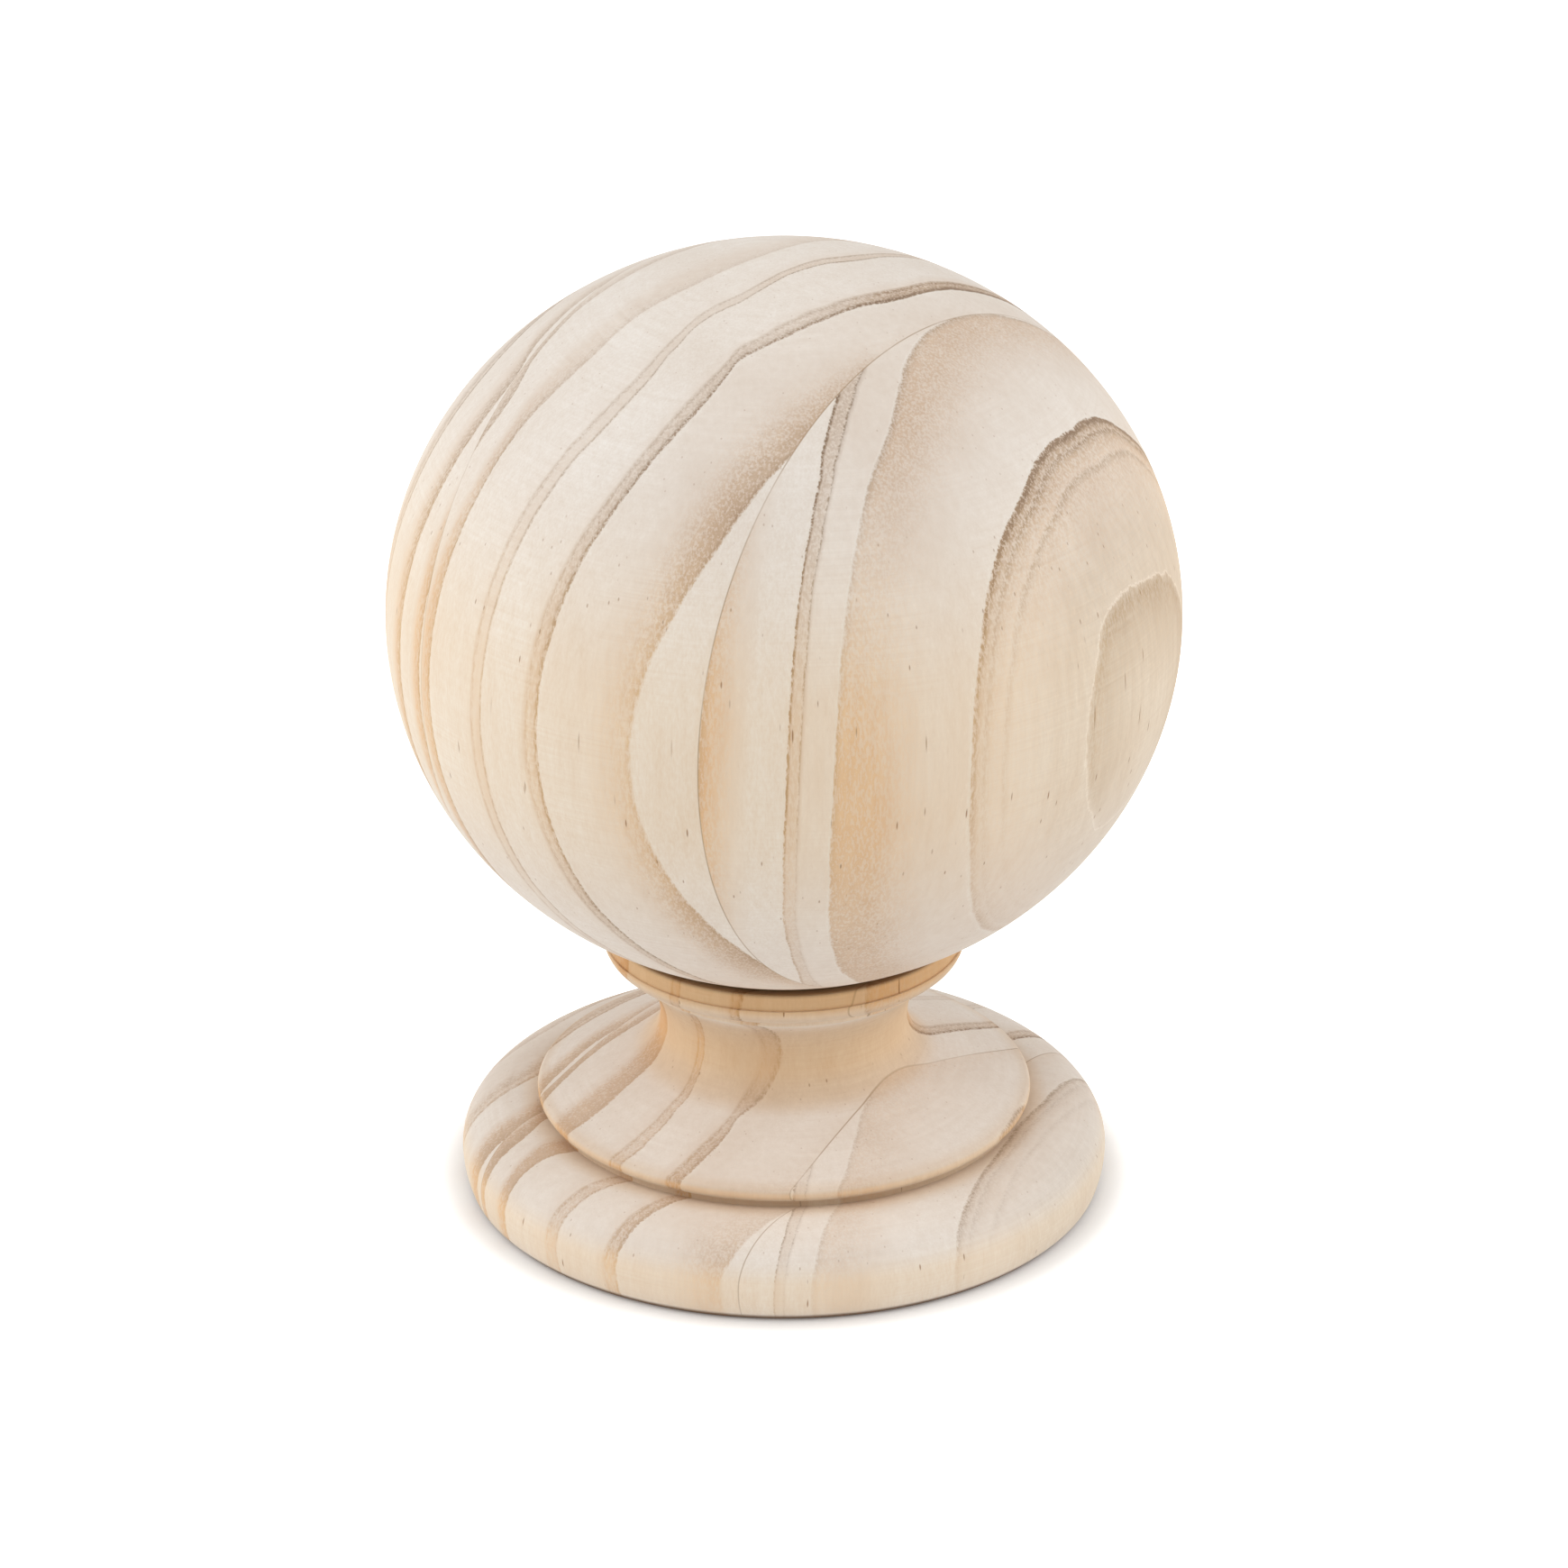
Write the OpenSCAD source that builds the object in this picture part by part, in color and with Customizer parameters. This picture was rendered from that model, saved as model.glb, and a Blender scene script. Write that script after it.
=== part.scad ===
// Ball-top post cap in turned softwood.
// One solid body of revolution about the vertical axis: a slightly flattened ball on a
// banded collar, a waisted neck, a sloping shoulder with a rolled lip, and a round rim
// that stands flat on the post. A blind pilot bore underneath takes the fixing screw.
// Millimetres, +Z up, origin at the centre of the flat underside.

/* [Ball] */
// Widest diameter of the ball
ball_d = 108; // [88:1:134]
// Height of the full ball from pole to pole
ball_h = 101; // [82:1:126]

/* [Collar] */
// Diameter of the upright band below the ball
collar_d = 49.5; // [41:0.25:62]
// Height of the upright band
band_h = 2.35; // [1.5:0.05:5]
// Easing radius on the top edge of the band
band_ease = 0.3; // [0.1:0.05:0.8]
// How far in from the band the underside of the ball meets the collar
seat_in = 2; // [1:0.1:8]
// Radius of the quarter-round bead below the band
bead_r = 2.75; // [1.5:0.05:3]
// How far the bead stands out past the band
bead_proud = 0.3; // [0.1:0.05:0.6]

/* [Neck] */
// How far in from the band the upright fillet under the bead stands
fillet_in = 2.75; // [2.5:0.05:5]
// Height of the upright fillet
fillet_h = 1; // [0.5:0.1:4]
// Diameter of the neck at its narrowest
neck_d = 34.4; // [26:0.2:42]
// Radius of the hollow above the narrowest point
cove_upper_r = 9.3; // [6:0.1:16]
// Radius of the hollow below the narrowest point
cove_lower_r = 6.4; // [3:0.1:12]

/* [Shoulder] */
// Fall of the shoulder from neck to lip, in degrees
shoulder_fall = 20; // [8:1:32]
// Radius of the rolled lip at the edge of the shoulder
lip_r = 1; // [0.6:0.05:1.6]
// Height of the groove between the lip and the top of the rim
groove_h = 0.85; // [0.4:0.05:2]
// Depth of that groove, in from the outside of the lip
groove_depth = 1.4; // [0.8:0.1:3]

/* [Rim] */
// Diameter of the rim where it is widest
base_d = 90; // [75:1:114]
// Width of the rim outside the lip, seen from above
ledge_w = 10.6; // [8.8:0.1:14]
// Height of the top of the rim above the post
rim_h = 11.9; // [9:0.1:18]
// Height at which the rim is widest
rim_mid_h = 5.1; // [3:0.1:7.5]
// How far the rounded top of the rim reaches in from its widest point
rim_reach = 9.3; // [7:0.1:10]
// How far the flat land behind the rounded top lies below it
land_drop = 0.5; // [0.3:0.1:2]
// Radius of the curve that draws the rim in towards the post
foot_r = 11.8; // [8:0.2:24]
// Width of the chamfer round the bottom edge
foot_chamfer = 0.5; // [0.2:0.1:1.5]

/* [Screw pilot] */
// Diameter of the blind bore for the double-ended fixing screw
pilot_d = 6; // [4:0.5:10]
// Depth of the bore at full diameter
pilot_depth = 35; // [20:1:60]
// Included angle of the drill point at the end of the bore
drill_angle = 118; // [90:1:150]
// Width of the chamfer round the mouth of the bore
mouth_chamfer = 0.5; // [0.2:0.1:1.5]

/* [Hidden] */
$fn = 240;
pine = "#DFC9A8";
// how far an edge is tucked inside the curve it runs into, so that the two always cross
tuck = 0.002;

ball_r = ball_d / 2;
half_h = ball_h / 2;
collar_r = collar_d / 2;
fillet_r = collar_r - fillet_in;
neck_r = neck_d / 2;
base_r = base_d / 2;

// the lip is a full round that stands one groove height above the rim
lip_out = base_r - ledge_w;
lip_c = [lip_out - lip_r, rim_h + groove_h + lip_r];
groove_r = lip_out - groove_depth;

// the shoulder rises from the lip, and the lower hollow touches both it and the neck
fall_normal = [sin(shoulder_fall), cos(shoulder_fall)];
lip_touch = lip_c + (lip_r - tuck) * fall_normal;
cove_lower_x = neck_r + cove_lower_r;
neck_z = lip_c[1] + (lip_c[0] - cove_lower_x) * tan(shoulder_fall)
       + (cove_lower_r + lip_r) / cos(shoulder_fall);
cove_lower_c = [cove_lower_x, neck_z];
cove_touch = cove_lower_c - (cove_lower_r - tuck) * fall_normal;

// the upper hollow rises from the narrowest point until it meets the fillet
cove_upper_c = [neck_r + cove_upper_r, neck_z];
cove_upper_h = sqrt(pow(cove_upper_r, 2) - pow(max(0, cove_upper_c[0] - fillet_r), 2));
fillet_z = neck_z + cove_upper_h;

// the bead stands on the fillet, and the band on the bead
bead_c = [collar_r + bead_proud - bead_r, fillet_z + fillet_h + bead_r];
band_z = bead_c[1];
collar_top = band_z + band_h;

// the ball sinks into the top of the collar as far as its seat
ball_z = collar_top + half_h * sqrt(1 - pow((collar_r - seat_in) / ball_r, 2));

// rounded top of the rim, curve of the foot, and the radius of the flat underside
crown_r = base_r - rim_reach;
foot_c = [base_r - foot_r, rim_mid_h];
sole_r = foot_c[0] + sqrt(pow(foot_r, 2) - pow(rim_mid_h, 2));

// Ellipse of half-width a and half-height b about its own centre.
module oval(a, b) {
    scale([1, b / a]) circle(a);
}

// Half-section of the ball.
module ball_section() {
    translate([0, ball_z]) intersection() {
        oval(ball_r, half_h);
        translate([0, -ball_h]) square([ball_d, 2 * ball_h]);
    }
}

// Upright band with its top edge eased.
module band_section() {
    ease_x = collar_r - band_ease;
    translate([0, band_z]) {
        square([ease_x, band_h]);
        square([collar_r, band_h - band_ease]);
        translate([ease_x, band_h - band_ease]) circle(band_ease);
    }
}

// Quarter-round bead under the band, flat on top.
module bead_section() {
    translate([0, band_z - bead_r + tuck]) square([bead_c[0], bead_r - tuck]);
    translate(bead_c) intersection() {
        circle(bead_r);
        translate([-collar_d, -collar_d]) square([2 * collar_d, collar_d]);
    }
}

// Neck above its narrowest point: the upper hollow and the fillet.
module upper_neck_section() {
    difference() {
        translate([0, neck_z]) square([fillet_r, band_z - neck_z]);
        translate(cove_upper_c) circle(cove_upper_r);
    }
}

// Neck below its narrowest point, the shoulder with its lip, and the root of the groove.
module shoulder_section() {
    difference() {
        polygon([[0, lip_c[1]], lip_c, lip_touch, cove_touch, cove_lower_c, [0, neck_z]]);
        translate(cove_lower_c) circle(cove_lower_r);
    }
    translate(lip_c) circle(lip_r);
    translate([0, rim_mid_h]) square([groove_r, lip_c[1] - rim_mid_h]);
}

// Rounded top of the rim and the land behind it.
module rim_section() {
    intersection() {
        translate([crown_r, rim_mid_h]) oval(rim_reach, rim_h - rim_mid_h);
        translate([0, rim_mid_h]) square([base_d, rim_h]);
    }
    translate([0, rim_mid_h]) square([crown_r, rim_h - land_drop - rim_mid_h]);
}

// Lower part of the rim, drawn in to the foot, with its bottom edge chamfered.
module foot_section() {
    cut_x = sole_r - foot_chamfer;
    difference() {
        union() {
            square([foot_c[0], rim_mid_h]);
            intersection() {
                translate(foot_c) circle(foot_r);
                translate([foot_c[0], 0]) square([base_d, rim_mid_h]);
            }
        }
        polygon([[cut_x, 0], [cut_x, -1], [base_r + 1, -1], [base_r + 1, base_r + 1 - cut_x]]);
    }
}

// Blind bore with a drill point and a chamfered mouth.
module pilot_bore() {
    r = pilot_d / 2;
    cylinder(h = pilot_depth, r = r);
    translate([0, 0, pilot_depth]) cylinder(h = r / tan(drill_angle / 2), r1 = r, r2 = 0);
    translate([0, 0, -1]) cylinder(h = 1 + mouth_chamfer, r1 = r + mouth_chamfer + 1, r2 = r);
}

module turned_cap() {
    color(pine)
    difference() {
        rotate_extrude() {
            ball_section();
            band_section();
            bead_section();
            upper_neck_section();
            shoulder_section();
            rim_section();
            foot_section();
        }
        pilot_bore();
    }
}

turned_cap();
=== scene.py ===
import math

import bpy
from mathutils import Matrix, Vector


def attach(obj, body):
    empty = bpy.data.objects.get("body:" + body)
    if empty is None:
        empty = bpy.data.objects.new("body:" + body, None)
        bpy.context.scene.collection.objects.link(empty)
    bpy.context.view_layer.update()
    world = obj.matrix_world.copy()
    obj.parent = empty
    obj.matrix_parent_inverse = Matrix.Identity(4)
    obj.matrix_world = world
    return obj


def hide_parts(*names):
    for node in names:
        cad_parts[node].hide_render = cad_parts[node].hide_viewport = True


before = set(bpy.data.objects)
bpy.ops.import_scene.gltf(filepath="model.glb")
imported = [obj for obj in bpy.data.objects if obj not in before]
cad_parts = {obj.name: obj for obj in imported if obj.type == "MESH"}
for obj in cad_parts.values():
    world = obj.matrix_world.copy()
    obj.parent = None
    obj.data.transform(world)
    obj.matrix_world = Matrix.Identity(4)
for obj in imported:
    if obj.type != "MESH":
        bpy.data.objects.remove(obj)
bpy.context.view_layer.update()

# ---------------------------------------------------------------------------------------
# Turned cap. One blank of unfinished pine, glued up from three boards and turned between
# centres to a ball, a banded collar, a waisted neck and a moulded rim, then drilled up
# from below for a double-ended screw. It comes off the lathe sanded and without a finish.
# ---------------------------------------------------------------------------------------

MM = 0.001
LATHE_STEPS = 320
CIRCLE_POINTS = 256

# sizes of the half-outline in millimetres; a point is distance out from the axis, then height
ball_r, ball_half_h, ball_z = 54.0, 50.5, 85.23
seat_r, collar_top = 22.75, 39.431
band_r, band_ease = 24.75, 0.3
band_c = (band_r - band_ease, collar_top - band_ease)
bead_c, bead_r = (22.3, 37.081), 2.75
arris_r = 0.12
arris_c = (bead_c[0] + bead_r - arris_r, bead_c[1] - arris_r)
fillet_r, fillet_z = 22.0, 33.331
cove_upper_c, cove_upper_r = (26.5, 25.192), 9.3
cove_lower_c, cove_lower_r = (23.6, 25.192), 6.4
shoulder_fall = 20.0
lip_c, lip_r = (33.4, 13.75), 1.0
groove_r, groove_floor = 33.0, 11.607
crown_c, crown_reach, crown_rise = (35.7, 5.1), 9.3, 6.8
foot_c, foot_r = (33.2, 5.1), 11.8
foot_edge, sole_r = (44.219, 0.878), 43.341
bore_r, bore_top, bore_tip, mouth = 3.0, 35.0, 36.803, 0.5

# working tolerances in millimetres, and the sharpest turn in degrees that is shaded smooth
axis_slack, seat_gap, same_point, merge_gap = 0.01, 0.3, 1e-4, 0.003
smooth_below = 32


def deselect_all():
    for thing in bpy.context.selected_objects:
        thing.select_set(False)


class Outline:
    """Half-outline of a turned piece, drawn vertex by vertex from the last selected one."""

    def __init__(self, x, z):
        self.x, self.z = x, z

    def line(self, x, z):
        move = ((x - self.x) * MM, 0, (z - self.z) * MM)
        bpy.ops.mesh.extrude_vertices_move(TRANSFORM_OT_translate={"value": move})
        self.x, self.z = x, z

    def arc(self, centre, radius, start, end, steps, rise=None):
        """Arc from start to end, in degrees from the outward direction, upwards positive."""
        for i in range(steps + 1):
            angle = math.radians(start + (end - start) * i / steps)
            x = centre[0] + radius * math.cos(angle)
            z = centre[1] + (rise or radius) * math.sin(angle)
            if math.hypot(x - self.x, z - self.z) > same_point:
                self.line(x, z)


# the ball starts as a circle on edge, pressed a little flatter than round, and keeps the half
# on one side of the axis that stands above the collar
deselect_all()
bpy.ops.mesh.primitive_circle_add(vertices=CIRCLE_POINTS, radius=ball_r * MM, fill_type="NOTHING",
                                  location=(0, 0, ball_z * MM), rotation=(math.pi / 2, 0, 0))
cap = bpy.context.object
cap.name = cap.data.name = "turned_cap_wood"
cap.scale = (1, ball_half_h / ball_r, 1)
bpy.ops.object.transform_apply(location=True, rotation=True, scale=True)
bpy.ops.object.mode_set(mode="EDIT")
bpy.ops.mesh.select_all(action="DESELECT")
bpy.ops.object.mode_set(mode="OBJECT")
for point in cap.data.vertices:
    past_axis = point.co.x < -axis_slack * MM
    point.select = past_axis or point.co.z < (collar_top + seat_gap) * MM
bpy.ops.object.mode_set(mode="EDIT")
bpy.ops.mesh.delete(type="VERT")
bpy.ops.object.mode_set(mode="OBJECT")
lowest = min(cap.data.vertices, key=lambda point: point.co.z)
lowest.select = True
outline = Outline(lowest.co.x / MM, lowest.co.z / MM)
bpy.ops.object.mode_set(mode="EDIT")

# collar: the flat the ball sits on, the upright band, its arris and the quarter-round bead
outline.line(seat_r, collar_top)
outline.line(band_c[0], collar_top)
outline.arc(band_c, band_ease, 90, 0, steps=6)
outline.line(band_r, bead_c[1])
outline.line(arris_c[0], bead_c[1])
outline.arc(arris_c, arris_r, 90, 0, steps=4)
bead_start = -math.degrees(math.asin(arris_r / bead_r))
outline.arc(bead_c, bead_r, bead_start, -90, steps=14)
outline.line(fillet_r, bead_c[1] - bead_r)
outline.line(fillet_r, fillet_z)

# neck: one hollow down to the waist and a smaller one out on to the shoulder
into_fillet = 180 - math.degrees(math.acos((cove_upper_c[0] - fillet_r) / cove_upper_r))
outline.arc(cove_upper_c, cove_upper_r, into_fillet, 180, steps=18)
outline.arc(cove_lower_c, cove_lower_r, 180, 270 - shoulder_fall, steps=16)

# shoulder, rolled lip, groove, moulded rim and foot
lip_end = -math.degrees(math.acos((groove_r - lip_c[0]) / lip_r))
outline.arc(lip_c, lip_r, 90 - shoulder_fall, lip_end, steps=14)
outline.line(groove_r, groove_floor)
crown_start = math.degrees(math.acos((groove_r - crown_c[0]) / crown_reach))
outline.arc(crown_c, crown_reach, crown_start, 0, steps=40, rise=crown_rise)
foot_end = math.degrees(math.asin((foot_edge[1] - foot_c[1]) / foot_r))
outline.arc(foot_c, foot_r, 0, foot_end, steps=10)
outline.line(sole_r, 0)

# underside and the blind pilot bore
outline.line(bore_r + mouth, 0)
outline.line(bore_r, mouth)
outline.line(bore_r, bore_top)
outline.line(0, bore_tip)

bpy.ops.mesh.select_all(action="SELECT")
bpy.ops.mesh.spin(steps=LATHE_STEPS, angle=2 * math.pi, center=(0, 0, 0), axis=(0, 0, 1))
bpy.ops.mesh.select_all(action="SELECT")
bpy.ops.mesh.remove_doubles(threshold=merge_gap * MM)
bpy.ops.mesh.normals_make_consistent(inside=False)
bpy.ops.object.mode_set(mode="OBJECT")
bpy.ops.object.shade_smooth_by_angle(angle=math.radians(smooth_below))


def tone(code):
    """Linear colour of a hex code as seen on a screen."""
    shown = [int(code[i:i + 2], 16) / 255 for i in (0, 2, 4)]
    return [c / 12.92 if c <= 0.04045 else ((c + 0.055) / 1.055) ** 2.4 for c in shown] + [1]


class Wire:
    """A socket that ordinary arithmetic can be done on, each operation adding a Math node."""

    tree = None

    def __init__(self, socket):
        self.socket = socket

    @staticmethod
    def add(kind, settings=None, inputs=None):
        """Adds a node: its settings first, then the values or links of its sockets."""
        node = Wire.tree.nodes.new(kind)
        for key, value in (settings or {}).items():
            if key == "stops":
                ramp = node.color_ramp
                while len(ramp.elements) < len(value):
                    ramp.elements.new(1)
                for element, (position, colour) in zip(ramp.elements, value):
                    element.position, element.color = position, colour
            elif key == "points":
                node.mapping.use_clip = False
                node.mapping.extend = "EXTRAPOLATED"
                bend = node.mapping.curves[0]
                for _ in value[2:]:
                    bend.points.new(0.5, 0.5)
                for point, location in zip(bend.points, value):
                    point.location = location
                node.mapping.update()
            else:
                setattr(node, key, value)
        for key, value in (inputs or {}).items():
            if isinstance(value, Wire):
                Wire.tree.links.new(value.socket, node.inputs[key])
            else:
                node.inputs[key].default_value = value
        return node

    def maths(self, operation, *others, clamp=False):
        given = dict(enumerate((self,) + others))
        settings = {"operation": operation, "use_clamp": clamp}
        return Wire(Wire.add("ShaderNodeMath", settings, given).outputs[0])

    def __add__(self, other):
        return self.maths("ADD", other)

    __radd__ = __add__

    def __mul__(self, other):
        return self.maths("MULTIPLY", other)

    __rmul__ = __mul__

    def __sub__(self, other):
        return self.maths("SUBTRACT", other)

    def __rsub__(self, other):
        return -1 * self + other

    def __truediv__(self, other):
        return self.maths("DIVIDE", other)

    def __pow__(self, other):
        return self.maths("POWER", other)

    def part(self, number):
        """The colour channel or axis of that number."""
        node = Wire.add("ShaderNodeSeparateXYZ", None, {0: self})
        return Wire(node.outputs[number])

    def step(self, start, end):
        """0 before start and 1 after end, with a soft change between."""
        inputs = {"Value": self, "From Min": start, "From Max": end}
        node = Wire.add("ShaderNodeMapRange", {"interpolation_type": "SMOOTHSTEP"}, inputs)
        return Wire(node.outputs[0])

    def over(self, rising, falling):
        """1 between two soft changes, and 0 before the first and after the second."""
        return self.step(*rising) * (1 - self.step(*falling))

    def near(self, middle, full, none):
        """1 up to the distance full from the middle, and 0 from the distance none outwards."""
        return 1 - (self - middle).maths("ABSOLUTE").step(full, none)


def curve(points, along):
    """Smooth curve through the points, read at that place along it."""
    node = Wire.add("ShaderNodeFloatCurve", {"points": points}, {"Factor": 1, "Value": along})
    return Wire(node.outputs[0])


def place(x, y, z):
    return Wire(Wire.add("ShaderNodeCombineXYZ", None, {0: x, 1: y, 2: z}).outputs[0])


def noise(where, scale, detail=2.0, rough=0.5):
    inputs = {"Vector": where, "Scale": scale, "Detail": detail, "Roughness": rough}
    return Wire(Wire.add("ShaderNodeTexNoise", {"noise_dimensions": "3D"}, inputs).outputs[0])


def blend(amount, low, high, how="MIX"):
    settings = {"data_type": "RGBA", "blend_type": how}
    return Wire(Wire.add("ShaderNodeMix", settings, {0: amount, 6: low, 7: high}).outputs[2])


def total(first, second):
    node = Wire.add("ShaderNodeVectorMath", {"operation": "ADD"}, {0: first, 1: second})
    return Wire(node.outputs[0])


def scaled(vector, amount):
    settings = {"operation": "SCALE"}
    node = Wire.add("ShaderNodeVectorMath", settings, {0: vector, "Scale": amount})
    return Wire(node.outputs[0])


pine = bpy.data.materials.new("unfinished pine")
pine.use_nodes = True
Wire.tree = pine.node_tree
Wire.tree.nodes.clear()

# position in the blank, in millimetres
here = Wire(Wire.add("ShaderNodeTexCoord").outputs["Object"])
x, y, z = (here.part(axis) * (1 / MM) for axis in range(3))


def grained(squeeze):
    """Position with its height squeezed, so that a pattern read there is drawn out up the grain."""
    return place(x, y, z * squeeze)


# fibres are fine specks on end grain and short fine streaks on side grain
speck = noise(grained(0.3), scale=3.0, detail=3.0, rough=0.65)
stipple_off, stipple_full = 0.36, 0.64
stipple = speck.step(stipple_off, stipple_full)
fleck = noise(grained(0.07), scale=0.9, detail=3.0, rough=0.6)
clouds = noise(grained(0.4), scale=0.07)

# the growth rings wander, ripple and fray, each by up to half of this many millimetres either way
wander_by, ripple_by, fray_by = 1.1, 0.5, 0.6
wander = noise(grained(0.15), scale=0.07) - 0.5
ripple = noise(grained(0.12), scale=0.35) - 0.5
wave = wander * wander_by + ripple * ripple_by + (speck - 0.5) * fray_by

# Glue joints between the three boards. Their faces lie at one angle across the blank, and each
# is given by its distance from the axis that way, in millimetres. The right one bows inwards by
# the shoulder, so it has a distance for each height.
across_x, across_y = 0.798, -0.602
right_joint = [(0, 21.8), (12, 21.6), (15, 21.1), (18, 20.1), (21, 18.8), (27, 19.2), (38, 21.3),
               (48, 22.1), (136, 22.1)]
left_joint = -23.5
joint_blur = 0.04
across = x * across_x + y * across_y
glue_right = across - curve(right_joint, z)
glue_left = across - left_joint
in_right = glue_right.step(-joint_blur, joint_blur)
in_left = 1 - glue_left.step(-joint_blur, joint_blur)

# Growth rings of the middle and left boards, from back to front. Edge is the ring's outer edge,
# as y over x. Ripening is how the ring darkens from its inner edge to its outer one: place, shade,
# dark line and, where there is a fourth number, grey. Vigour is how much of that shows along the
# ring: the places where it starts and stops changing, and the amounts before and after. Level is
# how much shows at each height. In the left board every ring stands a step further back.
left_board_step = 3.5
middle_rings = [
    dict(name="eighth", edge=[(-56, 30), (-27, 52), (0, 76), (56, 142)]),
    dict(name="seventh", edge=[(-56, 17), (-40, 26), (-27, 39), (-10, 57), (56, 130)],
         ripening=[(0, 0, 0), (0.55, 0.1, 0), (0.9, 0.6, 0.1), (0.97, 0.8, 0.5), (1, 0, 0)],
         vigour=(-46, 0, 0.35, 0.9),
         level=[(0, 0.9), (20, 0.8), (40, 0.5), (62, 0.5), (80, 1), (136, 1)]),
    dict(name="sixth", edge=[(-56, 4), (-40, 12), (-27, 26), (-15, 36), (0, 52), (56, 115)],
         ripening=[(0, 0, 0), (0.5, 0, 0), (0.8, 0.45, 0.1), (0.97, 0.7, 0.7), (1, 0, 0)],
         vigour=(-46, 0, 0.3, 0.9),
         level=[(0, 0.9), (20, 0.8), (40, 0.5), (62, 0.5), (80, 1), (136, 1)]),
    dict(name="fifth", edge=[(-56, -10), (-40, -2), (-27, 12), (-15, 23), (0, 39), (20, 60),
                             (56, 100)],
         ripening=[(0, 0, 0), (0.6, 0.1, 0), (0.84, 0.5, 0.5), (0.9, 0.35, 0.1),
                   (0.97, 0.7, 0.8), (1, 0, 0)],
         vigour=(-45, -10, 0.6, 1)),
    dict(name="fourth", edge=[(-56, -23), (-50, -19.5), (-45, -17.3), (-40, -14.8), (-36, -12),
                              (-33, -6.5), (-31, -4), (-27, 0.8), (-21, 5.8), (-15, 11),
                              (-9, 16), (0, 25), (20, 46), (56, 88)],
         ripening=[(0, 0, 0), (0.5, 0, 0), (0.7, 0.25, 0), (0.86, 0.55, 0.2), (0.93, 0.6, 0.35),
                   (0.975, 0.7, 0.4), (1, 0, 0)],
         vigour=(-32, -22, 1.2, 0.85),
         level=[(0, 1), (100, 1), (122, 0.7), (136, 0.5)]),
    dict(name="third", edge=[(-56, -31), (-46, -25.7), (-40, -22.5), (-36, -20), (-30, -17),
                             (-25, -14.3), (-20, -10), (-12, -5), (-6, -0.5), (0, 5.5), (5, 12),
                             (9, 16.5), (15, 23), (30, 40), (56, 70)],
         ripening=[(0, 0, 0), (0.5, 0, 0), (0.62, 0.15, 0), (0.75, 0.5, 0), (0.9, 0.6, 0.1),
                   (0.975, 0.75, 0.35), (1, 0, 0)],
         vigour=(-38, -22, 1.2, 0.85),
         level=[(0, 1), (100, 1), (122, 0.7), (136, 0.5)]),
    dict(name="second", edge=[(-56, -46), (-40, -36), (-30, -30.5), (-20, -25), (-14, -18.7),
                              (-10.5, -14.5), (-5, -11), (0, -5.5), (4, -1.5), (10, 3), (14, 8),
                              (17, 12), (24, 20), (40, 38), (56, 54)],
         ripening=[(0, 0, 0), (0.55, 0, 0), (0.78, 0.1, 0), (0.82, 0.4, 0.25), (0.86, 0.25, 0.05),
                   (0.95, 0.3, 0.05), (0.975, 0.45, 0.45), (1, 0, 0)],
         vigour=(-8, 3, 0.95, 1.4)),
    dict(name="first", edge=[(-56, -54), (-34, -43.3), (-30, -41.5), (-20, -36), (-10, -28.5),
                             (-7.5, -25.5), (-6, -23.2), (-3, -21.4), (0, -19.3), (5, -15.7),
                             (10, -11.7), (15, -8), (18, -4.2), (20, -1.5), (25, 4.5), (28, 8),
                             (31, 11.5), (37, 17), (56, 38)],
         ripening=[(0, 0, 0), (0.6, 0, 0), (0.76, 0.15, 0), (0.82, 0.6, 0.35), (0.87, 0.45, 0.15),
                   (0.93, 0.6, 0.3), (0.965, 0.8, 0.85), (0.98, 0.7, 0.7), (1, 0, 0)],
         vigour=(4, 20, 0.75, 1.9)),
    dict(name="outermost", edge=[(-56, -62), (-30, -52.5), (-19.5, -49.5), (-16, -48.2),
                                 (-12, -46.2), (-8, -43.8), (-5, -41.5), (-2, -38.8), (4, -33.5),
                                 (10, -28.5), (20, -19.5), (30, -9), (40, 3), (56, 24)],
         ripening=[(0, 0, 0), (0.05, 0.1, 0), (0.4, 0.14, 0), (0.6, 0.28, 0), (0.8, 0.6, 0.05),
                   (0.95, 0.9, 0.2), (0.975, 1, 0.35), (1, 0, 0)],
         vigour=(-24, -6, 0.5, 1.2),
         level=[(0, 0.35), (12, 0.5), (25, 0.9), (45, 1), (136, 1)]),
]

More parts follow.
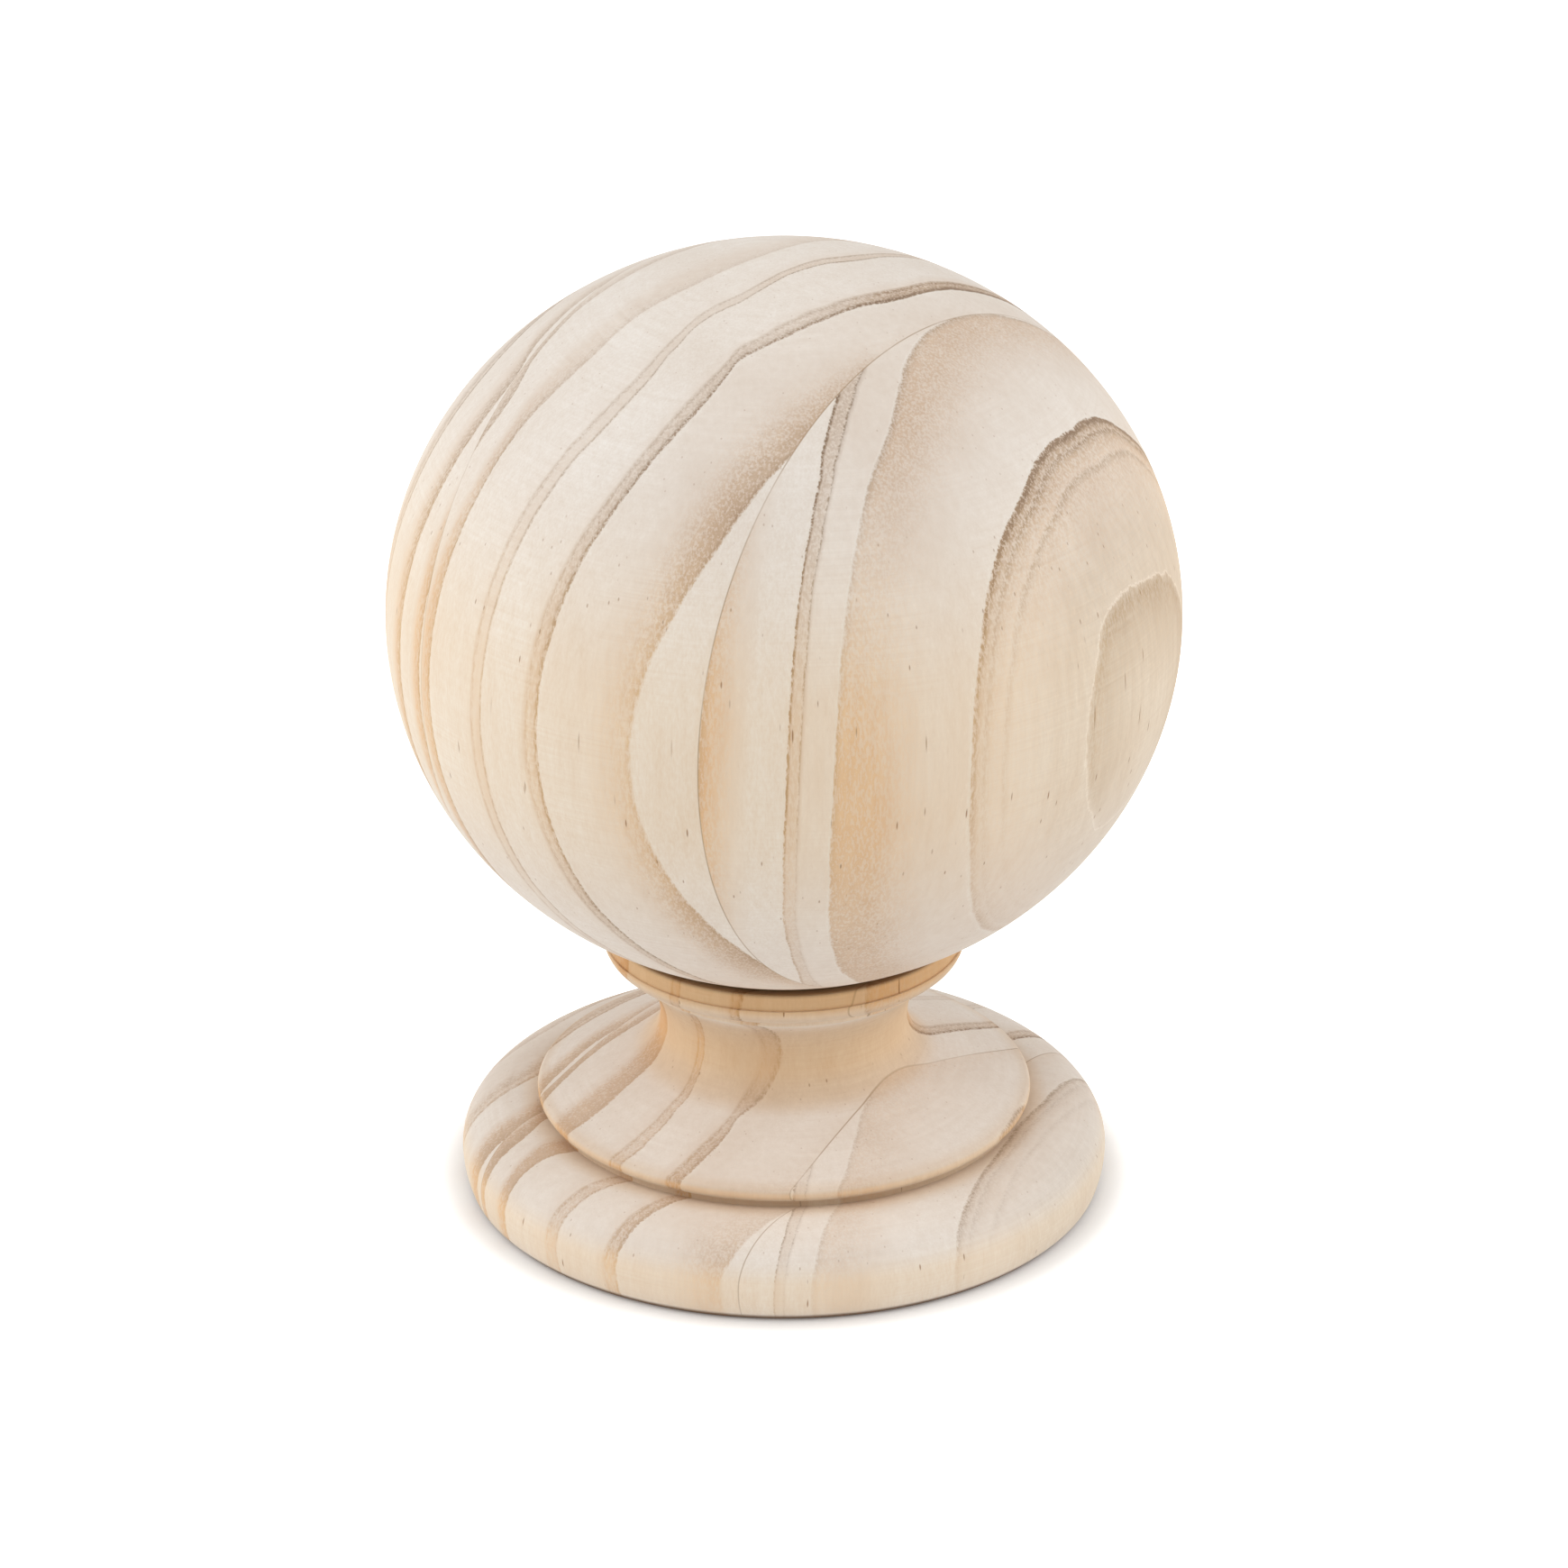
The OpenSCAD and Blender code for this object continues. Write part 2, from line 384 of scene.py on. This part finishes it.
# The same for the right board, outwards from the pith on the right, with edge as x over y. Its
# rings lean: each shifts along y and along x by so much for every millimetre that a place stands
# above the height at which the edges are drawn.
edges_drawn_at = 119
right_rings = [
    dict(name="heart", edge=[(-60, 44), (-41, 49), (-24, 56), (0, 66), (60, 105)],
         lean=(0.134, 0)),
    dict(name="bullseye", edge=[(-60, 34), (-48, 37.5), (-41, 39.7), (-37.8, 40.8), (-34.8, 41.6),
                                (-30, 44), (-23.6, 47.6), (-14, 51.8), (0, 58), (60, 97)],
         lean=(0.134, 0),
         ripening=[(0, 0, 0), (0.3, 0.05, 0, 0.12), (0.6, 0.1, 0, 0.28), (0.8, 0.15, 0.1, 0.4),
                   (0.94, 0.2, 0.3, 0.4), (0.985, 0.15, 0.15, 0.35), (1, 0, 0)],
         vigour=(-46, -30, 0.7, 1.1),
         level=[(0, 0.5), (12, 0.4), (40, 0.1), (62, 0.4), (78, 1), (136, 1)]),
    dict(name="strong", edge=[(-60, 23), (-53, 24.4), (-50, 24.8), (-45, 25.9), (-40, 27.4),
                              (-35.5, 29), (-30.5, 31), (-25, 32.9), (-17.5, 36.7), (-8, 41.3),
                              (-2, 45.9), (6, 51), (60, 90)],
         lean=(0.134, 0.01),
         ripening=[(0, 0, 0), (0.005, 0.12, 0, 0.25), (0.2, 0.2, 0, 0.25), (0.45, 0.3, 0, 0.1),
                   (0.6, 0.4, 0.05), (0.66, 0.45, 0.25), (0.7, 0.42, 0), (0.8, 0.55, 0.1),
                   (0.86, 0.6, 0.4), (0.89, 0.5, 0.2), (0.93, 0.75, 0.4), (0.965, 0.9, 0.95),
                   (0.98, 0.85, 0.8), (1, 0, 0)],
         vigour=(-50, -28, 0.5, 1.25),
         level=[(0, 0.6), (14, 0.75), (30, 0.6), (44, 0.35), (60, 0.6), (78, 1), (136, 1)]),
    dict(name="wide", edge=[(-60, 7.4), (-53.5, 8.2), (-48, 8.6), (-42.5, 9.7), (-37, 11.1),
                            (-32, 12.8), (-26, 14.1), (-20, 15.3), (-15, 17), (-10.5, 19.5),
                            (-4.5, 23.5), (-0.5, 27), (10, 36), (60, 76)],
         lean=(0, 0.049),
         ripening=[(0, 0, 0), (0.03, 0.15, 0), (0.3, 0.18, 0), (0.5, 0.42, 0), (0.75, 0.85, 0),
                   (0.93, 1, 0), (0.965, 1, 0.2), (0.98, 0.85, 0.4), (1, 0, 0)],
         vigour=(-60, 0, 1, 0.9),
         level=[(0, 0.8), (30, 0.9), (60, 1), (84, 1), (100, 0.65), (112, 0.55), (124, 0.8),
                (136, 0.9)]),
    dict(name="narrow", edge=[(-60, 0.6), (-53.8, 1.6), (-49, 2.1), (-44, 3.2), (-39, 4.3),
                              (-35, 5), (-30.5, 5.9), (-26.5, 6.8), (-15, 11), (0, 20), (60, 68)],
         lean=(0, 0.038),
         ripening=[(0, 0, 0), (0.03, 0.15, 0), (0.62, 0.15, 0), (0.68, 0.25, 0.2),
                   (0.705, 0.4, 0.6), (0.74, 0.4, 0.15), (0.92, 0.45, 0.2), (0.955, 0.7, 0.85),
                   (0.978, 0.7, 0.85), (1, 0, 0)],
         vigour=(-60, -20, 0.9, 1.1)),
    dict(name="edge", edge=[(-60, -12), (-52, -9.6), (-42, -7.5), (-20, 0), (0, 10), (60, 55)],
         lean=(0, 0.042),
         ripening=[(0, 0, 0), (0.4, 0, 0), (0.6, 0.25, 0), (0.9, 0.8, 0), (0.975, 0.9, 0.3),
                   (1, 0, 0)],
         vigour=(-60, -30, 1, 0.8)),
]


def growth(rings, edges, depth, along):
    """Shade, dark line and greyness of all rings of a board, as the channels of a colour."""
    layers = []
    for ring, inner, outer in zip(rings[1:], edges, edges[1:]):
        ripe = (inner - depth).maths("DIVIDE", inner - outer, clamp=True)
        stops = [(at, (dark, thin, sum(grey), 1)) for at, dark, thin, *grey in ring["ripening"]]
        settings = {"label": ring["name"], "stops": stops}
        layer = Wire(Wire.add("ShaderNodeValToRGB", settings, {0: ripe}).outputs[0])
        start, end, before, after = ring["vigour"]
        layer = scaled(layer, along.step(start, end) * (after - before) + before)
        if "level" in ring:
            layer = scaled(layer, curve(ring["level"], z))
        layers.append(layer)
    together = layers[0]
    for layer in layers[1:]:
        together = total(together, layer)
    return together


# The butt is the lower end of the blank, and fades out between the waist and the low part of the
# ball. The rings of the middle boards sway from foot to crown, and turn a little at the butt.
butt_starts_fading, butt_gone = 25, 55
butt = 1 - z.step(butt_starts_fading, butt_gone)
butt_turn = 0.065
sway_points = [(0, -0.4), (9, -0.5), (15, -1.7), (22, -2.6), (28, -1.7), (38, 1.2), (50, 1.4),
               (119, 0), (136, -0.3)]
sway = curve(sway_points, z) - butt * x * butt_turn
middle_y = y - in_left * left_board_step + sway + wave
middle_edges = [curve(ring["edge"], x) for ring in middle_rings]
middle = growth(middle_rings, middle_edges, middle_y, x)

rise = z - edges_drawn_at
right_edges = []
for ring in right_rings:
    lean_y, lean_x = ring["lean"]
    edge = curve(ring["edge"], y + rise * lean_y if lean_y else y)
    right_edges.append(edge + rise * lean_x if lean_x else edge)
right = growth(right_rings, right_edges, x + wave, y)
grown = blend(in_right, middle, right)
shade, line, grey = (grown.part(channel) for channel in range(3))

# end grain shows on the crown and the ledges, side grain on the upright faces
side_grain_to, end_grain_from = 0.1, 0.75
facing = Wire(Wire.add("ShaderNodeNewGeometry").outputs["Normal"])
end_grain = facing.part(2).maths("ABSOLUTE").step(side_grain_to, end_grain_from)
early = blend(end_grain, tone("F0DFC9"), tone("E9DFD4"))
late = blend(end_grain, tone("E9C397"), tone("D0B59B"))
ridge = blend(end_grain, tone("C19B70"), tone("8A725C"))

# late wood is stronger at the butt left of the middle, and weaker right of it and on the rim's side
butt_left, butt_right = -14, 1
rim_side_to, ledge_from = 3, 10
butt_gain, butt_loss, butt_haze, rim_loss = 0.75, 1.2, 0.1, 0.45
shade_even, shade_stippled, shade_flecked = 0.35, 1.0, 0.2
from_left = x.step(butt_left, butt_right)
rim_side = 1 - z.step(rim_side_to, ledge_from)
shade_strength = (1 + butt * (butt_gain - from_left * butt_loss)) * (1 - rim_side * rim_loss)
shade_haze = butt * (1 - from_left) * butt_haze
shade_texture = shade_even + stipple * shade_stippled + fleck * shade_flecked
shade_amount = (shade * shade_strength + shade_haze) * shade_texture
wood = blend(shade_amount.maths("MINIMUM", 1.0), early, late)

# dark lines are fainter at the butt, across the belly of the right board and on the rim's side
belly_middle, belly_core, belly_end = 58, 8, 24
butt_fade, belly_fade, rim_fade = 0.55, 0.75, 0.35
line_even, line_stippled = 0.3, 1.2
greying = tone("D0CDC6")
belly = z.near(belly_middle, belly_core, belly_end)
line_strength = (1 - butt * butt_fade) * (1 - belly * in_right * belly_fade)
line_texture = line_even + stipple * line_stippled
line_amount = line * line_strength * (1 - rim_side * rim_fade) * line_texture
wood = blend(line_amount.maths("MINIMUM", 1.0), wood, ridge)
wood = blend(grey, wood, greying, "MULTIPLY")

# the lathe leaves faint sanding lines round the axis, seen more in some patches than in others
lines_round, lines_up = 2.0, 3.0
patch_off, patch_full, patch_gain, sanding_even, right_loss = 0.42, 0.6, 0.3, 0.05, 0.3
speck_tooth, fleck_tooth, cloud_tooth = 0.5, 0.3, 0.4
reach = (x * x + y * y).maths("SQRT")
round_axis = place(x / reach * lines_round, y / reach * lines_round, z * lines_up)
turning = noise(round_axis, scale=1.0, detail=3.0, rough=0.6)
sanding = clouds.step(patch_off, patch_full) * patch_gain + sanding_even
sanded = (turning - 0.5) * sanding * (1 - in_right * right_loss)
fibres = (speck - 0.5) * speck_tooth + (fleck - 0.5) * fleck_tooth
tooth = 0.5 + fibres + (clouds - 0.5) * cloud_tooth + sanded
wood = blend(1.0, wood, tooth, "SOFT_LIGHT")

# glue lines: the right one comes and goes, and the left one is even and paler
glue_core, glue_edge = 0.03, 0.12
glue_least, glue_more, gone_below, full_above = 0.3, 0.4, 0.35, 0.6
glue_tone, glue_tone_left = tone("A98B6C"), tone("B09474")
coming = noise(grained(1), scale=0.06, detail=1.0).step(gone_below, full_above)
glue_seen = coming * glue_more + glue_least
wood = blend(glue_right.near(0, glue_core, glue_edge) * glue_seen, wood, glue_tone)
wood = blend(glue_left.near(0, glue_core, glue_edge) * glue_least, wood, glue_tone_left)

# resin canals, cut to dots on the crown and to short streaks on the upright faces
canal_core, canal_edge = 0.05, 0.13
none_below, all_above = 0.36, 0.5
canal_on_side, canal_end_loss = 0.8, 0.5
canal_tone = tone("9A6B3F")
canals = Wire.add("ShaderNodeTexVoronoi", {"feature": "F1"},
                  {"Vector": grained(0.045), "Scale": 0.8, "Randomness": 1})
canal_near = 1 - Wire(canals.outputs["Distance"]).step(canal_core, canal_edge)
canal_pick = Wire(canals.outputs["Color"]).part(0).step(none_below, all_above)
canal = canal_near * canal_pick
canal_seen = canal_on_side - end_grain * canal_end_loss
wood = blend(canal * canal_seen, wood, canal_tone)

# Painted warm shade in the hollows of the neck, collar and lip, for the shadow and the light that
# the wood bounces there, and more on the band under the ball than on the bead below it. Each pair
# is where a change starts and ends, in millimetres up the blank or out from the axis.
neck_shade_paint, bead_shade_paint, band_shade_extra, lip_shade_paint = 0.62, 0.45, 0.4, 0.4
neck_side, shoulder, fillet = (18.5, 22), (16, 20), (33, 34.5)
band, under_ball = (36, 37.4), (40, 43)
lip_inside, lip_outside, lip_below, lip_above = (31.5, 34), (34.4, 37.5), (9, 11), (14, 16)
warm_shade_tone = tone("E9CCA2")
neck_painted_shade = (1 - reach.step(*neck_side)) * z.over(shoulder, fillet) * neck_shade_paint
collar_painted_shade = z.over(fillet, under_ball) * (z.step(*band) * band_shade_extra + bead_shade_paint)
lip_painted_shade = reach.over(lip_inside, lip_outside) * z.over(lip_below, lip_above) * lip_shade_paint
wood = blend(neck_painted_shade + collar_painted_shade + lip_painted_shade, wood, warm_shade_tone, "MULTIPLY")

# painted shade darkens the tight corners under the ball and at the foot, and a little in the groove
seat_shade_paint, groove_shade_paint, foot_shade_paint = 0.55, 0.1, 0.8
seat_corner_z, seat_core, seat_end, seat_side = 39.75, 0.25, 0.95, (24.5, 25.5)
groove_corner_z, groove_core, groove_end, groove_side = 12.0, 0.4, 0.7, (33.1, 33.9)
foot_top, foot_side = (0.5, 1.2), (42.8, 43.3)
painted_shade_tone = tone("6E4A20")
seat_painted_shade = z.near(seat_corner_z, seat_core, seat_end) * (1 - reach.step(*seat_side))
groove_painted_shade = z.near(groove_corner_z, groove_core, groove_end) * (1 - reach.step(*groove_side))
foot_painted_shade = (1 - z.step(*foot_top)) * reach.step(*foot_side)
corner_painted_shade = seat_painted_shade * seat_shade_paint + groove_painted_shade * groove_shade_paint + foot_painted_shade * foot_shade_paint
wood = blend(corner_painted_shade, wood, painted_shade_tone)

# fibres, sanding lines and late wood stand up a little, and canals are sunk
fibres_up, lines_raised, canals_down, late_up = 0.5, 0.3, 0.8, 0.05
bump_depth, bump_strength = 0.06, 0.25
least_rough, more_rough, shine = 0.6, 0.2, 0.35
height = speck * fibres_up + turning * lines_raised - canal * canals_down + shade * late_up
bump = Wire.add("ShaderNodeBump", None,
                {"Strength": bump_strength, "Distance": bump_depth * MM, "Height": height})
shader = Wire.add("ShaderNodeBsdfPrincipled", None, {
    "Base Color": wood,
    "Roughness": least_rough + speck * more_rough,
    "Specular IOR Level": shine,
    "Normal": Wire(bump.outputs[0]),
})
Wire.add("ShaderNodeOutputMaterial", None, {0: Wire(shader.outputs[0])})
cap.data.materials.append(pine)

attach(cap, "root")
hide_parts("turned_cap")

# ---------------------------------------------------------------------------------------
# Tabletop. A plain white board in matt paint, wide enough to fill every view, that the cap
# stands on. It keeps only the soft contact shadow of the rim.
# ---------------------------------------------------------------------------------------

# width in metres, and how far from the middle the paint begins and ends to be whitened
tabletop_size = 6
shadow_kept_to, white_from = 0.0445, 0.0515
whitening = 0.6
matt_white, plain_white = (0.97, 0.97, 0.97, 1), (1, 1, 1, 1)

deselect_all()
bpy.ops.mesh.primitive_plane_add(size=tabletop_size, location=(0, 0, 0))
tabletop = bpy.context.object
tabletop.name = "tabletop"

paint = bpy.data.materials.new("white paint")
paint.use_nodes = True
Wire.tree = paint.node_tree
Wire.tree.nodes.clear()


def seen_rays():
    """1 for the rays that show a surface to the camera, directly, in gloss or through glass."""
    paths = Wire.add("ShaderNodeLightPath")
    kinds = ("Is Camera Ray", "Is Glossy Ray", "Is Transmission Ray")
    return sum(Wire(paths.outputs[kind]) for kind in kinds)


flat_paint = Wire.add("ShaderNodeBsdfDiffuse", None, {"Color": matt_white})
where = Wire(Wire.add("ShaderNodeTexCoord").outputs["Object"])
away = (where.part(0) ** 2.0 + where.part(1) ** 2.0).maths("SQRT")
lift_strength = seen_rays() * away.step(shadow_kept_to, white_from) * whitening
lift = Wire.add("ShaderNodeEmission", None, {"Color": plain_white, "Strength": lift_strength})
coats = {0: Wire(flat_paint.outputs[0]), 1: Wire(lift.outputs[0])}
painted = Wire.add("ShaderNodeAddShader", None, coats)
Wire.add("ShaderNodeOutputMaterial", None, {0: Wire(painted.outputs[0])})
tabletop.data.materials.append(paint)

# ---------------------------------------------------------------------------------------
# Studio. Two softboxes stand left and right of the cap, with a square one overhead and a
# little in front, inside a dim white tent. The camera looks a little down on the cap.
# ---------------------------------------------------------------------------------------

tent_light = 0.3

world = bpy.data.worlds.new("light tent")
bpy.context.scene.world = world
world.use_nodes = True
Wire.tree = world.node_tree
Wire.tree.nodes.clear()
tent = {"Color": plain_white, "Strength": seen_rays() * (1 - tent_light) + tent_light}
backdrop = Wire.add("ShaderNodeBackground", None, tent)
Wire.add("ShaderNodeOutputWorld", None, {0: Wire(backdrop.outputs[0])})

lamps_aim = Vector((0, 0, 0.06))
softboxes = [
    dict(name="left softbox", at=(-0.72, -0.05, 0.52), size=(1.3, 0.6), watts=4.84),
    dict(name="right softbox", at=(0.72, -0.05, 0.52), size=(1.3, 0.6), watts=4.4),
    dict(name="overhead softbox", at=(0, -0.4, 0.98), size=(1.0, 1.0), watts=2.54),
]
for box in softboxes:
    deselect_all()
    bpy.ops.object.light_add(type="AREA", location=box["at"])
    lamp = bpy.context.object
    lamp.name = box["name"]
    lamp.data.shape = "RECTANGLE"
    lamp.data.size, lamp.data.size_y = box["size"]
    lamp.data.energy = box["watts"]
    lamp.rotation_euler = (lamps_aim - lamp.location).to_track_quat("-Z", "Y").to_euler()

# the camera's distance is in metres, and its tilt in radians
camera_reach, camera_tilt = 0.9818, 0.4339
look_at = Vector((0, 0, 0.05953))
towards_camera = Vector((0, -math.cos(camera_tilt), math.sin(camera_tilt)))
focal_pixels, frame_pixels, sensor_mm = 7945.6, 1740, 36

deselect_all()
bpy.ops.object.camera_add(location=look_at + towards_camera * camera_reach)
camera = bpy.context.object
camera.rotation_euler = (look_at - camera.location).to_track_quat("-Z", "Y").to_euler()
camera.data.sensor_width = sensor_mm
camera.data.lens = focal_pixels / frame_pixels * sensor_mm
bpy.context.scene.camera = camera
bpy.context.scene.view_settings.view_transform = "Standard"
